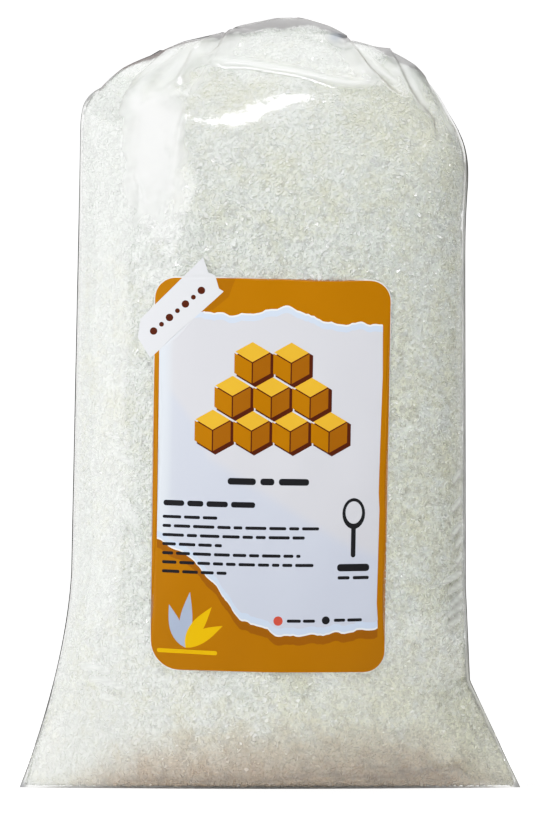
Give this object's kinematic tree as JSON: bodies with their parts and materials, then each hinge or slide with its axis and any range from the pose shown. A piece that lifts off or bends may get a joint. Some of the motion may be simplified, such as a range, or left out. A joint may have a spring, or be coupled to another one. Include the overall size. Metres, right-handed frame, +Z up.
{
  "type": "bag of sugar",
  "caption": "Clear plastic bag filled with granulated white sugar, folded shut at the top, with a paper label on its front.",
  "frame": {"origin": "middle of the flat base, on the surface it stands on", "axes": "+Z up, the front with the label faces -Y, +X to the right seen from the front"},
  "size_m": [0.15, 0.0596, 0.2314],
  "materials": {
    "filled_bag": "clear thin film, pressed close over fine white crystals",
    "label": "smooth coated paper sticker, orange round a pale field"
  },
  "bodies": {
    "root": {"sugar_bag": "filled_bag", "label": "label"}
  },
  "joints": []
}
